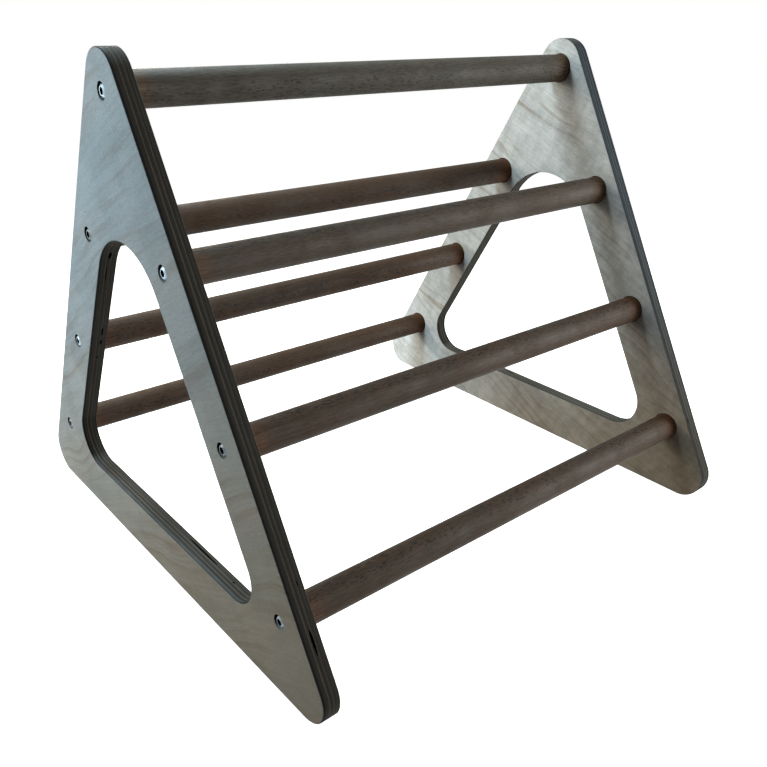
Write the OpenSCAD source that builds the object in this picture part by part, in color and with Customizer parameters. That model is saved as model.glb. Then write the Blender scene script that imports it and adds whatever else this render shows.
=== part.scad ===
// Climbing triangle for small children: two plywood side panels joined by seven round rungs.
// The X axis runs along the rungs, -Y is the front, and Z = 0 is the floor.
// The origin is the middle of the footprint.

/* [Side panels] */
// Overall height of a panel, from the floor to the crown of its top corner
panel_h = 530; // [500:1:640]
// Angle between a panel's sloping side and the vertical, in degrees
lean = 30; // [27:0.5:36]
// Thickness of the plywood
ply_t = 18; // [15:0.5:21]
// Radius of a panel's three outer corners
corner_r = 30; // [20:1:40]
// Width of the sloping strips beside the cut-out
side_strip_w = 61; // [56:1:72]
// Height of the strip under the cut-out
base_strip_h = 61; // [40:1:90]
// Radius of the cut-out's top corner
cut_top_r = 70; // [45:1:80]
// Radius of the cut-out's two base corners
cut_base_r = 35; // [20:1:50]
// Width of the chamfer along every long edge of a panel
panel_chamfer = 1.5; // [0.5:0.1:3]

/* [Rungs] */
// Clear distance between the two panels
clear_w = 580; // [400:5:800]
// Diameter of a rung
rung_d = 32; // [27:0.5:34]
// Distance from a panel's sloping edge to the rung centres
rung_inset = 32; // [28:0.5:36]
// Height of the lowest rungs' centres above the floor
lowest_rung_z = 85.5; // [60:0.5:110]
// Number of rungs below the top one, on each slope
rungs_per_slope = 3; // [1:1:4]
// Depth of the pocket that holds each rung end
pocket_depth = 5; // [3:0.5:6]
// Gap all round a rung end in its pocket
pocket_gap = 0.6; // [0.1:0.1:1]
// Width of the chamfer at a rung's ends
rung_chamfer = 1; // [0.5:0.1:2]

/* [Bolts] */
// Diameter of a bolt
bolt_d = 8; // [6:0.5:8]
// Length of a bolt under its head
bolt_len = 30; // [22:1:40]
// Diameter of the domed head
head_d = 14; // [12:0.5:15]
// Height of the domed head
head_h = 4.4; // [3.3:0.1:5]
// Height of the head's straight rim
head_rim_h = 1; // [0.6:0.1:1.5]
// Diameter of the flat on top of the head
head_flat_d = 8; // [7.5:0.1:9]
// Width across the flats of the hexagon socket
socket_w = 5; // [4:0.5:5.5]
// Depth of the hexagon socket
socket_depth = 2.6; // [1.8:0.1:2.8]
// Pitch of the bolt's thread
bolt_pitch = 1.25; // [1:0.05:1.5]
// Distance from the panel's outer face down to the top of the head
head_sunk = 0.2; // [0:0.1:1]
// Gap all round the head in its counterbore
head_gap = 0.5; // [0.2:0.1:1]
// Gap all round the bolt where it passes through the panel
hole_gap = 0.25; // [0.1:0.05:0.5]

/* [Threaded inserts] */
// Outside diameter of an insert
insert_d = 12; // [11:0.5:14]
// Length of an insert
insert_len = 20; // [12:1:24]
// Pitch of the coarse outside thread
insert_pitch = 2.5; // [2:0.1:3]
// Depth of the coarse outside thread
insert_thread_depth = 0.7; // [0.4:0.1:1]
// Width of the driving slot across the insert's end
slot_w = 2; // [1.5:0.1:3]
// Depth of the driving slot
slot_depth = 2.5; // [1.5:0.1:4]
// Gap all round the bolt's thread in the insert
thread_gap = 0.02; // [0.01:0.01:0.05]
// Gap all round the insert in the rung
insert_gap = 0.02; // [0.01:0.01:0.05]
// Free space behind the bolt and the insert in the rung's bore
bore_spare = 2; // [1:0.5:5]

/* [Hidden] */
$fn = 96;
// How far a cutting shape runs past the face that it cuts
past = 1;
// Share of the bolt's thread depth in its pitch
thread_depth_share = 0.5;
// How far a straight edge lies inside the line that touches its two corner arcs
edge_tuck = 0.01;
// The same for the straight cut that chamfers an edge
chamfer_tuck = 0.03;
// How many degrees a window's arc cuts run on past their corners
arc_run_on = 4;
// How far a plate's straight cuts run on past its sides
straight_run_on = 3;

// Height at which the two sloping edges of a panel would meet
peak_z = panel_h + corner_r / sin(lean) - corner_r;
// The same for the two sloping edges of the cut-out
cut_peak_z = peak_z - side_strip_w / sin(lean);
top_rung_z = peak_z - rung_inset / sin(lean);
// Distance between neighbouring rung centres, measured down the slope
rung_pitch = (top_rung_z - lowest_rung_z) / (rungs_per_slope * cos(lean));
outer_face_x = clear_w / 2 + ply_t;
pocket_d = rung_d + 2 * pocket_gap;
rung_len = clear_w + 2 * pocket_depth;
counterbore_d = head_d + 2 * head_gap;
// Depth of the bearing face under the head, from the panel's outer face
seat_depth = head_h + head_sunk;
through_hole_d = bolt_d + 2 * hole_gap;
// Length of bolt that passes into the rung
bolt_reach = bolt_len - (ply_t - seat_depth - pocket_depth);
rung_bore_d = insert_d + 2 * insert_gap;
rung_bore_depth = max(insert_len, bolt_reach) + bore_spare;
insert_bore_d = bolt_d + 2 * thread_gap;
bolt_thread_depth = bolt_pitch * thread_depth_share;
hex_corner_factor = 1 / cos(30);

// Each rung seat: its label, its slope (-1 front, 0 top, 1 back) and its step down that slope
seats = concat(
    [["top", 0, 0]],
    [for (k = [1:rungs_per_slope]) [str("front_", k), -1, k]],
    [for (k = [1:rungs_per_slope]) [str("back_", k), 1, k]]
);
sides = ["left", "right"];

function rung_name(seat) = str("rung_", seat[0]);
function bolt_name(side, seat) = str("bolt_", side, "_", seat[0]);
function insert_name(side, seat) = str("insert_", side, "_", seat[0]);

// Place of a seat in the panel's plane: distance behind the middle, and height
function seat_y(seat) = seat[1] * seat[2] * rung_pitch * sin(lean);
function seat_z(seat) = top_rung_z - seat[2] * rung_pitch * cos(lean);

// Corners of a triangle that stands on base_z with its slopes meeting at top_z.
// Each corner is [centre of its arc, radius].
function triangle_corners(top_z, base_z, top_r, base_r) =
    let (half_base = (top_z - base_z) * tan(lean))
    let (base_y = half_base - base_r / tan((90 - lean) / 2))
    [
        [[0, top_z - top_r / sin(lean)], top_r],
        [[-base_y, base_z + base_r], base_r],
        [[base_y, base_z + base_r], base_r]
    ];

// Outward directions of the three straight edges, from each corner to the next
edge_normals = [[-cos(lean), sin(lean)], [0, -1], [cos(lean), sin(lean)]];

// Point on a corner's arc in the given direction, moved out from the corner's centre by extra
function arc_point(corner, direction, extra) = corner[0] + (corner[1] + extra) * direction;

// Outline with three round corners
module rounded_triangle(corners) {
    for (corner = corners)
        translate(corner[0]) circle(r = corner[1]);
    polygon([
        for (i = [0:2]) each [
            arc_point(corners[i], edge_normals[i], -edge_tuck),
            arc_point(corners[(i + 1) % 3], edge_normals[i], -edge_tuck)
        ]
    ]);
}

// Section of the cut that chamfers an edge at z = 0, with x = 0 on the edge.
// A positive side lies outwards of the edge, as on a window.
function chamfer_section(side) = [
    [side * (panel_chamfer + past), -past],
    [-side * past, -past],
    [-side * past, panel_chamfer + past]
];

// Cuts that chamfer a three-cornered outline's edge at z = 0: side is -1 for a plate's own
// edge and 1 for a window's. Arc and straight cuts cross each other at a slight angle.
module chamfer_cuts(corners, side) {
    arc_extra = side > 0 ? arc_run_on : 0;
    straight_extra = side > 0 ? 0 : straight_run_on;
    for (i = [0:2]) {
        corner = corners[i];
        before = edge_normals[(i + 2) % 3];
        first = atan2(before[1], before[0]);
        turn = (atan2(edge_normals[i][1], edge_normals[i][0]) - first + 360) % 360;
        translate(corner[0])
            rotate([0, 0, first - arc_extra])
                rotate_extrude(angle = turn + 2 * arc_extra)
                    polygon([for (p = chamfer_section(side)) [p[0] + corner[1], p[1]]]);
        start = arc_point(corner, edge_normals[i], -chamfer_tuck);
        finish = arc_point(corners[(i + 1) % 3], edge_normals[i], -chamfer_tuck);
        along = [-edge_normals[i][1], edge_normals[i][0]];
        translate(finish + straight_extra * along)
            rotate([90, 0, atan2(edge_normals[i][1], edge_normals[i][0])])
                linear_extrude(height = norm(finish - start) + 2 * straight_extra)
                    polygon(chamfer_section(side));
    }
}

// Panel lying in its own plane, with its outer face at z = 0 and its height along y
module flat_panel() {
    outer = triangle_corners(peak_z, 0, corner_r, corner_r);
    window = triangle_corners(cut_peak_z, base_strip_h, cut_top_r, cut_base_r);
    difference() {
        linear_extrude(height = ply_t)
            difference() {
                rounded_triangle(outer);
                rounded_triangle(window);
            }
        chamfer_cuts(outer, -1);
        chamfer_cuts(window, 1);
        translate([0, 0, ply_t])
            mirror([0, 0, 1]) {
                chamfer_cuts(outer, -1);
                chamfer_cuts(window, 1);
            }
        for (seat = seats)
            translate([seat_y(seat), seat_z(seat), 0]) {
                translate([0, 0, -past])
                    cylinder(d = counterbore_d, h = seat_depth + past);
                cylinder(d = through_hole_d, h = ply_t);
                translate([0, 0, ply_t - pocket_depth])
                    cylinder(d = pocket_d, h = pocket_depth + past);
            }
    }
}

// Stands a flat panel, or a fastener whose axis is z, against the left-hand outer face
module stand_at_left() {
    translate([-outer_face_x, 0, 0])
        rotate([90, 0, 90])
            children();
}

// Puts a left-hand piece on the named side
module on_side(side) {
    if (side == "right")
        mirror([1, 0, 0]) stand_at_left() children();
    else
        stand_at_left() children();
}

module left_panel() {
    color("#c9c3b4") on_side("left") flat_panel();
}

module right_panel() {
    color("#c9c3b4") on_side("right") flat_panel();
}

// Bar along z with chamfered ends
module chamfered_bar(d, len, chamfer) {
    rotate_extrude()
        polygon([
            [0, 0],
            [d / 2 - chamfer, 0],
            [d / 2, chamfer],
            [d / 2, len - chamfer],
            [d / 2 - chamfer, len],
            [0, len]
        ]);
}

module rung(seat) {
    color("#8a6a55")
        translate([-rung_len / 2, seat_y(seat), seat_z(seat)])
            rotate([0, 90, 0])
                difference() {
                    chamfered_bar(rung_d, rung_len, rung_chamfer);
                    for (z = [-past, rung_len - rung_bore_depth])
                        translate([0, 0, z])
                            cylinder(d = rung_bore_d, h = rung_bore_depth + past);
                }
}

// Points up the outside of a thread, from z = from to z = to, ready for rotate_extrude
function thread_points(crest_r, depth, pitch, from, to) =
    let (turns = floor((to - from) / pitch))
    [
        for (i = [0:turns - 1]) each [
            [crest_r - depth, from + i * pitch],
            [crest_r, from + (i + 0.5) * pitch]
        ],
        [crest_r - depth, from + turns * pitch],
        [crest_r - depth, to]
    ];

// Height, below the head's bearing face, of the centre of the sphere that domes the head
dome_drop = (pow(head_d / 2, 2) + pow(head_rim_h, 2) - pow(head_flat_d / 2, 2) - pow(head_h, 2))
    / (2 * (head_h - head_rim_h));
dome_r = norm([head_d / 2, head_rim_h + dome_drop]);

// Bolt with its axis on z, the top of its head at z = head_sunk and its tip at greater z
module bolt_shape() {
    plain_len = ply_t - seat_depth - pocket_depth;
    translate([0, 0, seat_depth]) {
        mirror([0, 0, 1])
            difference() {
                intersection() {
                    cylinder(d = head_d, h = head_h);
                    translate([0, 0, -dome_drop]) sphere(r = dome_r);
                }
                translate([0, 0, head_h - socket_depth])
                    cylinder(d = socket_w * hex_corner_factor, h = socket_depth + past, $fn = 6);
            }
        rotate_extrude()
            polygon(concat(
                [[0, 0], [bolt_d / 2, 0]],
                [[bolt_d / 2, plain_len]],
                thread_points(bolt_d / 2, bolt_thread_depth, bolt_pitch, plain_len, bolt_len),
                [[0, bolt_len]]
            ));
    }
}

module bolt(side, seat) {
    color("#c8d0d6")
        on_side(side)
            translate([seat_y(seat), seat_z(seat), 0])
                bolt_shape();
}

// Insert with its slotted end at z = 0
module insert_shape() {
    difference() {
        rotate_extrude()
            polygon(concat(
                [[insert_bore_d / 2, 0]],
                thread_points(insert_d / 2, insert_thread_depth, insert_pitch, 0, insert_len),
                [[insert_bore_d / 2, insert_len]]
            ));
        translate([-insert_d / 2 - past, -slot_w / 2, -past])
            cube([insert_d + 2 * past, slot_w, slot_depth + past]);
    }
}

module insert(side, seat) {
    color("#b5893f")
        on_side(side)
            translate([seat_y(seat), seat_z(seat), ply_t - pocket_depth])
                insert_shape();
}

left_panel();
right_panel();
for (seat = seats) {
    rung(seat);
    for (side = sides) {
        bolt(side, seat);
        insert(side, seat);
    }
}
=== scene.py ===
# Indoor climbing triangle: the looks of the two plywood sides, the seven rungs and their bolts.
import math
import random

import bmesh
import bpy
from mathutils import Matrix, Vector


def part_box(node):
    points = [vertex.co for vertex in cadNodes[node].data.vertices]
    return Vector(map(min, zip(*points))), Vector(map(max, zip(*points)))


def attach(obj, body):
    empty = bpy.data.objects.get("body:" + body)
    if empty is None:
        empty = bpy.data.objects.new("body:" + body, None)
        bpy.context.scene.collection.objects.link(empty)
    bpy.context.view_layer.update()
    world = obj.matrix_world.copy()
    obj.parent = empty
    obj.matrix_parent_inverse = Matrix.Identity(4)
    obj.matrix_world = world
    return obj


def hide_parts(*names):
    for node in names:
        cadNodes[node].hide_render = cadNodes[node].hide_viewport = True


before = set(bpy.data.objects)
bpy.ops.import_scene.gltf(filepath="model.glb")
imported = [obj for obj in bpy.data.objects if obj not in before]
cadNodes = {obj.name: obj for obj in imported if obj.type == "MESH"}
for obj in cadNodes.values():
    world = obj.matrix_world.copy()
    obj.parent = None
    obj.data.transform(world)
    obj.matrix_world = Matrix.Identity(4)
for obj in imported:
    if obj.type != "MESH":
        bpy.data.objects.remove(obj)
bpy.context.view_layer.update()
scene = bpy.context.scene
print("frame loaded:", len(cadNodes), "pieces")


# small helpers for objects and meshes
def addObject(name, data):
    made = bpy.data.objects.new(name, data)
    scene.collection.objects.link(made)
    return made


def lookAt(place, aim):
    return (Vector(aim) - Vector(place)).to_track_quat("-Z", "Y").to_euler()


def toData(mesh, name):
    # a finished bmesh as mesh data with its faces outwards
    bmesh.ops.recalc_face_normals(mesh, faces=mesh.faces)
    data = bpy.data.meshes.new(name)
    mesh.to_mesh(data)
    mesh.free()
    return data


def shadeByAngle(data, degrees=35):
    mesh = bmesh.new()
    mesh.from_mesh(data)
    for face in mesh.faces:
        face.smooth = True
    for edge in mesh.edges:
        edge.smooth = len(edge.link_faces) == 2 and edge.calc_face_angle(0) < math.radians(degrees)
    mesh.to_mesh(data)
    mesh.free()


def bakeModifiers(piece):
    old = piece.data
    bpy.context.view_layer.update()
    evaluated = piece.evaluated_get(bpy.context.evaluated_depsgraph_get())
    piece.data = bpy.data.meshes.new_from_object(evaluated)
    piece.data.name = piece.name
    piece.modifiers.clear()
    bpy.data.meshes.remove(old)


# the camera, solved from the photograph
cameraPlan = {
    "place": (-0.5950, -0.7010, 0.5670),
    "aim": (0.0033, 0.0, 0.0811),
    "roll": math.radians(1.227),  # turn about the line of sight
    "lens": 37.765,
    "sensor": 36,
    "shift": (0.00668, 0.05373),
    "farClip": 60,
}


def placeCamera():
    camera = addObject("camera", bpy.data.cameras.new("camera"))
    camera.location = cameraPlan["place"]
    camera.rotation_euler = lookAt(cameraPlan["place"], cameraPlan["aim"])
    camera.rotation_euler.rotate_axis("Z", cameraPlan["roll"])
    camera.data.sensor_width = cameraPlan["sensor"]
    camera.data.lens = cameraPlan["lens"]
    camera.data.shift_x, camera.data.shift_y = cameraPlan["shift"]
    camera.data.clip_end = cameraPlan["farClip"]
    scene.camera = camera


placeCamera()
print("camera placed")


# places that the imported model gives
def middleOf(nodeName):
    low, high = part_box(nodeName)
    return (low + high) / 2


ways = {"left": -1, "right": 1}  # which side of the middle each panel stands on
rungNames = [n for n in cadNodes if n.startswith("rung_")]
perSlope = (len(rungNames) - 1) // 2
topSeat = middleOf("rung_top")
stepDown = middleOf("rung_front_1") - topSeat
lean = math.atan2(abs(stepDown.y), -stepDown.z)
pitch = stepDown.length
rungLow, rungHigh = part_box("rung_top")
rungRadius = (rungHigh.z - rungLow.z) / 2
rungHalf = (rungHigh.x - rungLow.x) / 2
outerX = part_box("right_panel")[1].x
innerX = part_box("right_panel")[0].x
plyT = outerX - innerX
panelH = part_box("right_panel")[1].z
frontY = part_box("right_panel")[0].y


# small helpers for node trees
white = (1, 1, 1, 1)


def feed(tree, socket, value):
    if isinstance(value, bpy.types.NodeSocket):
        tree.links.new(value, socket)
    else:
        socket.default_value = value


def addNode(tree, kind, wires=None, **settings):
    made = tree.nodes.new(kind)
    for name, value in settings.items():
        setattr(made, name, value)
    for name, value in (wires or {}).items():
        feed(tree, made.inputs[name], value)
    return made


def output(tree, kind, wires=None, **settings):
    return addNode(tree, kind, wires, **settings).outputs[0]


def calc(tree, operation, *values, clamp=False):
    wires = dict(enumerate(values))
    return output(tree, "ShaderNodeMath", wires, operation=operation, use_clamp=clamp)


def product(tree, value, *others):
    for other in others:
        value = calc(tree, "MULTIPLY", value, other)
    return value


def total(tree, value, *others):
    for other in others:
        value = calc(tree, "ADD", value, other)
    return value


def minus(tree, value, other):
    return calc(tree, "SUBTRACT", value, other)


def vectorCalc(tree, operation, *values):
    return addNode(tree, "ShaderNodeVectorMath", dict(enumerate(values)), operation=operation).outputs


def remap(tree, value, low, high, toLow=0.0, toHigh=1.0, style="SMOOTHSTEP"):
    wires = {"Value": value, "From Min": low, "From Max": high, "To Min": toLow, "To Max": toHigh}
    return output(tree, "ShaderNodeMapRange", wires, interpolation_type=style)


def hump(tree, value, start, full, fade, end, peak=1.0):
    # rises from start to full, and falls again from fade to end
    return product(tree, remap(tree, value, start, full), remap(tree, value, fade, end, peak, 0.0))


def vary(tree, value, amount, above=1.0):
    # a factor that goes from 1 - amount to 1 + amount x above
    return remap(tree, value, 0, 1, 1 - amount, 1 + amount * above, style="LINEAR")


def mixColour(tree, factor, first, second, style="MIX"):
    wires = {0: factor, 6: first, 7: second}
    return addNode(tree, "ShaderNodeMix", wires, data_type="RGBA", blend_type=style).outputs[2]


def tint(tree, colour, by, amount=1.0):
    return mixColour(tree, amount, colour, by, style="MULTIPLY")


def dim(tree, colour, level):
    grey = output(tree, "ShaderNodeCombineColor", {0: level, 1: level, 2: level})
    return tint(tree, colour, grey)


def axes(tree, vector):
    return addNode(tree, "ShaderNodeSeparateXYZ", {0: vector}).outputs


def joined(tree, x, y, z):
    return output(tree, "ShaderNodeCombineXYZ", {0: x, 1: y, 2: z})


def coordinate(tree, kind):
    return addNode(tree, "ShaderNodeTexCoord").outputs[kind]


def attribute(tree, name, kind):
    return addNode(tree, "ShaderNodeAttribute", attribute_name=name).outputs[kind]


def noise(tree, vector, scale, w, detail=2.0, roughness=0.5):
    # scale: how fast the pattern changes along each axis, per metre
    vector = output(tree, "ShaderNodeMapping", {"Vector": vector, "Scale": scale})
    wires = {"Vector": vector, "W": w, "Scale": 1.0, "Detail": detail, "Roughness": roughness}
    return output(tree, "ShaderNodeTexNoise", wires, noise_dimensions="4D")


def newGroup(name, values, masks):
    # a group that takes a vector and named values, and puts out masks
    group = bpy.data.node_groups.new(name, "ShaderNodeTree")
    face = group.interface
    face.new_socket("Vector", in_out="INPUT", socket_type="NodeSocketVector")
    for label, default in values.items():
        face.new_socket(label, in_out="INPUT", socket_type="NodeSocketFloat").default_value = default
    for label in masks:
        face.new_socket(label, in_out="OUTPUT", socket_type="NodeSocketFloat")
    given = group.nodes.new("NodeGroupInput").outputs
    return group, given, group.nodes.new("NodeGroupOutput").inputs


def emptyTree(owner):
    owner.use_nodes = True
    owner.node_tree.nodes.clear()
    return owner.node_tree


def newMaterial(name):
    material = bpy.data.materials.new(name)
    return material, emptyTree(material)


def dress(material, plan, colour, roughness, relief, metallic=0.0):
    # gives the material its surface; the plan's relief is the height of a relief of one, metres
    tree = material.node_tree
    wires = {
        "Base Color": colour,
        "Metallic": metallic,
        "Roughness": roughness,
        "Specular IOR Level": plan["shine"],
        "Normal": output(tree, "ShaderNodeBump", {"Height": relief, "Distance": plan["relief"]}),
    }
    addNode(tree, "ShaderNodeOutputMaterial", {0: output(tree, "ShaderNodeBsdfPrincipled", wires)})
    return material


# shader group: growth rings, fibres and flecks of one piece of timber
timberPlan = {
    # each pattern: how fast it changes along and across the grain (per metre), detail, roughness
    "swell": (4, 9, 2.5, 0.45),  # the slow drift of the rings
    "ripple": (22, 60, 2.0, 0.5),  # the small waves in them
    "strength": (5, 18, 1.5, 0.5),  # where the rings are strong
    "strokes": (11, 230, 4.0, 0.62),
    "figure": (60, 34, 3.0, 0.6),
    "fibres": (130, 850, 3.0, 0.6),
    "patch": (9, 70, 1.0, 0.5),  # where the flecks are
    "clouds": (7, 16, 2.0, 0.5),
    "rippleHeight": 0.0035,
    "lateWood": (0.84, 0.86, 1.0),  # shares of a ring at which the late wood is full, fades and ends
    "fineRings": 3.3,  # finer rings within each ring
    "fineLine": (0.3, 0.85, 0.85, 1.0),
    "shares": (0.7, 0.3),  # how much the wide and the fine rings count
    "fleckScale": 0.55,
    "fleckEdge": (0.38, 0.50),
    # values of each pattern at which its mask sets in and is full
    "strengthFade": (0.38, 0.66),
    "strokesFade": (0.36, 0.64),
    "figureFade": (0.36, 0.64),
    "fibresFade": (0.3, 0.7),
    "patchFade": (0.34, 0.50),
}


def makeTimberGroup():
    plan = timberPlan
    values = {
        "Seed": 0.0,
        "Ring Width": 0.012,
        "Wander": 0.03,
        "Straightness": 1.0,
        "Onset": 0.2,  # where in a ring's width the late wood sets in
        "Fleck Length": 0.0025,
        "Fleck Width": 0.0004,
    }
    masks = ("Rings", "Fibres", "Flecks", "Strokes", "Figure", "Clouds")
    group, given, result = newGroup("timberGrain", values, masks)
    vector, seed = given["Vector"], given["Seed"]  # X along the grain, metres
    x, y, z = axes(group, vector)

    def pattern(name, w=seed):
        along, across, detail, roughness = plan[name]
        return noise(group, vector, (along, across, across), w, detail, roughness)

    def mask(name, w=seed):
        return remap(group, pattern(name, w), *plan[name + "Fade"])

    drift = product(group, minus(group, pattern("swell"), 0.5), given["Wander"])
    jitter = product(group, minus(group, pattern("ripple"), 0.5), plan["rippleHeight"])
    height = total(group, product(group, z, given["Straightness"]), drift, jitter)
    turns = calc(group, "DIVIDE", height, given["Ring Width"])
    late = hump(group, calc(group, "FRACT", turns), given["Onset"], *plan["lateWood"])
    fine = calc(group, "FRACT", product(group, turns, plan["fineRings"]))
    fine = hump(group, fine, *plan["fineLine"])
    rings = total(group, product(group, late, plan["shares"][0]), product(group, fine, plan["shares"][1]))
    feed(group, result["Rings"], product(group, rings, mask("strength", 5.0)))
    feed(group, result["Strokes"], mask("strokes"))
    feed(group, result["Figure"], mask("figure", 7.0))
    feed(group, result["Fibres"], mask("fibres"))
    feed(group, result["Clouds"], pattern("clouds", 9.0))
    long = calc(group, "DIVIDE", x, given["Fleck Length"])
    sideways = calc(group, "DIVIDE", y, given["Fleck Width"])
    upward = calc(group, "DIVIDE", z, given["Fleck Width"])
    cells = {
        "Vector": joined(group, long, sideways, upward), "W": seed,
        "Scale": plan["fleckScale"], "Randomness": 1.0,
    }
    spots = addNode(group, "ShaderNodeTexVoronoi", cells, voronoi_dimensions="4D").outputs["Distance"]
    flecks = product(group, remap(group, spots, *plan["fleckEdge"], 1, 0), mask("patch"))
    feed(group, result["Flecks"], flecks)
    return group


timberGrain = makeTimberGroup()


def timber(tree, vector, values):
    return addNode(tree, "ShaderNodeGroup", {"Vector": vector, **values}, node_tree=timberGrain).outputs


# shader group: hand marks and dust that dull a surface here and there
handlingPlan = {
    # each mask: how many times finer than the marks it is, where it sets in and is full, its noise
    "Smudge": (1.0, (0.35, 0.7), {"Detail": 4.0, "Roughness": 0.6, "Distortion": 0.6}),
    "Speckle": (60.0, (0.3, 0.7), {"Detail": 1.0}),
}


def makeHandlingGroup():
    group, given, result = newGroup("handling", {"Size": 0.05}, handlingPlan)
    for name, (finer, fade, settings) in handlingPlan.items():
        scale = calc(group, "DIVIDE", finer, given["Size"])
        wires = {"Vector": given["Vector"], "Scale": scale, **settings}
        spots = output(group, "ShaderNodeTexNoise", wires)
        feed(group, result[name], remap(group, spots, *fade))
    return group


handling = makeHandlingGroup()


def handled(tree, vector, size):
    return addNode(tree, "ShaderNodeGroup", {"Vector": vector, "Size": size}, node_tree=handling).outputs


def smudged(tree, touched, plan):
    # a roughness that is higher where hands have been
    return remap(tree, touched["Smudge"], 0, 1, *plan["roughness"])


def outerHalf(tree, place):
    # 1 in the half of a panel's thickness that is next to its outer face
    return calc(tree, "GREATER_THAN", calc(tree, "ABSOLUTE", axes(tree, place)["X"]), (innerX + outerX) / 2)


# veneer on the flat faces of a side panel
veneerPlan = {
    "inner": (0.430, 0.420, 0.418, 1),  # the face towards the rungs
    # darker and bluer than the inner faces: partly another veneer, partly painted shade and cool light
    "outer": (0.298, 0.331, 0.345, 1),
    "band": (0.60, 0.48, 0.36, 1),  # what the late bands multiply the face's colour by
    "low": (1.09, 0.84, 0.66, 1),  # painted shade: the outer faces warmer and darker low at the front
    # painted light: the outer faces cooler high up
    "high": (0.94, 1.00, 1.13, 1),
    "innerLow": (0.93, 0.77, 0.60, 1),  # the same painted shade on the inner faces
    "blush": (1.03, 0.97, 0.94, 1),  # the pinker clouds in the outer faces
    "corner": (1.76, 1.82, 1.88, 1),  # painted light: what the low corner at the back is multiplied by to make it paler
    "pore": (0.42, 0.36, 0.30, 1),
    "poreWeight": 0.14,
    "poreRelief": 1.5,
    "blushAt": (0.42, 0.66, 0.0, 0.8),  # where in the clouds the blush sets in, and how far it goes
    "cloudAt": (0.3, 0.7, 0.93, 1.05),  # the same for their lightness
    "strokeAbove": 0.6,  # how much the strokes lighten for how much they darken
    "slant": 0.55,  # how much of the depth counts as height in the fades below
    "outerFade": (-0.12, 0.45),  # from the painted shade low down to the painted cool light high up, metres
    "innerFade": (-0.12, 0.20),
    "bandFade": (-0.10, 0.20),
    "cornerFade": (0.02, 0.24),
    "cornerBands": 0.4,  # what is left of the bands in that corner's painted light
    "markSize": 0.06,
    "roughness": (0.62, 0.76),
    "relief": 0.00006,
    "shine": 0.15,
    "pinRadius": 0.0011,
    "pinDark": 0.85,
    # slope of the grain, its rings, how strong its bands, strokes, fibres, figure and mottle are,
    # what is left of the bands low at the front, its painted light, darker at the front and lighter at the
    # back, how far painted light makes its low corner at the back paler, and the places of the pin holes in
    # its outer face
    "left": {
        "turn": math.radians(28),
        "grain": {"Seed": 3.1, "Ring Width": 0.016, "Onset": 0.3, "Wander": 0.10, "Straightness": 0.75},
        "bands": 0.62, "strokes": 0.06, "fibre": 0.07, "figure": 0.02, "mottle": 0.08, "lowBands": 1.0,
        "drift": (0.93, 1.24), "corner": 0.0, "pins": ((0.0775, 0.3813), (0.0475, 0.0495)),
    },
    "right": {
        "turn": math.radians(-22),
        "grain": {"Seed": 7.4, "Ring Width": 0.012, "Onset": 0.45, "Wander": 0.11, "Straightness": 0.75},
        "bands": 0.95, "strokes": 0.08, "fibre": 0.10, "figure": 0.10, "mottle": 0.10, "lowBands": 0.35,
        "drift": (0.92, 1.20), "corner": 1.0, "pins": (),
    },
}


def veneerLightAndBlush(tree, outside, diagonal, clouds):
    # the face's colour with painted light, cool high up and warm and dark low at the front, and the pinker
    # clouds
    plan = veneerPlan
    outerLightAndBlush = mixColour(tree, remap(tree, diagonal, *plan["outerFade"]), plan["low"], plan["high"])
    outerLightAndBlush = tint(tree, outerLightAndBlush, plan["blush"], remap(tree, clouds, *plan["blushAt"]))
    innerLight = mixColour(tree, remap(tree, diagonal, *plan["innerFade"]), plan["innerLow"], white)
    colour = mixColour(tree, outside, plan["inner"], plan["outer"])
    return tint(tree, colour, mixColour(tree, outside, innerLight, outerLightAndBlush))


def makeVeneer(side):
    plan, own = veneerPlan, veneerPlan[side]
    material, tree = newMaterial(side + "Veneer")
    place = coordinate(tree, "Object")
    x, y, z = axes(tree, place)
    wires = {"Vector": place, "Rotation": (own["turn"], 0, 0)}
    turned = axes(tree, output(tree, "ShaderNodeMapping", wires))
    grain = timber(tree, joined(tree, turned["Y"], 0.0, turned["Z"]), own["grain"])
    touched = handled(tree, place, plan["markSize"])
    outside = outerHalf(tree, place)
    diagonal = total(tree, z, product(tree, y, plan["slant"]))
    colour = veneerLightAndBlush(tree, outside, diagonal, grain["Clouds"])
    corner = remap(tree, minus(tree, calc(tree, "ABSOLUTE", y), z), *plan["cornerFade"])
    corner = product(tree, corner, calc(tree, "GREATER_THAN", y, 0.0), own["corner"])
    strength = remap(tree, corner, 0, 1, own["bands"], own["bands"] * plan["cornerBands"])
    atFront = remap(tree, diagonal, *plan["bandFade"], own["lowBands"], 1.0)
    colour = tint(tree, colour, plan["band"], product(tree, grain["Rings"], strength, atFront))
    level = product(
        tree,
        vary(tree, grain["Strokes"], own["strokes"], plan["strokeAbove"]),
        vary(tree, grain["Fibres"], own["fibre"]),
        vary(tree, grain["Figure"], own["figure"]),
        vary(tree, touched["Speckle"], own["mottle"]),
        remap(tree, grain["Clouds"], *plan["cloudAt"], style="LINEAR"),
        # painted light: darker towards the front, lighter towards the back
        remap(tree, y, frontY, -frontY, *own["drift"], style="LINEAR"),
    )
    colour = dim(tree, colour, level)
    # painted light on the low corner at the back
    colour = tint(tree, colour, plan["corner"], corner)
    colour = tint(tree, colour, plan["pore"], product(tree, grain["Flecks"], plan["poreWeight"]))
    # the pin holes as dark spots: the dark wood inside them and their painted shade
    for pinY, pinZ in own["pins"]:
        away = vectorCalc(tree, "DISTANCE", place, joined(tree, x, pinY, pinZ))["Value"]
        hole = remap(tree, away, plan["pinRadius"] / 2, plan["pinRadius"], plan["pinDark"], 0.0)
        colour = mixColour(tree, product(tree, hole, outside), colour, edgePlan["dark"])
    relief = minus(tree, grain["Fibres"], product(tree, grain["Flecks"], plan["poreRelief"]))
    return dress(material, plan, colour, smudged(tree, touched, plan), relief)


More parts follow.
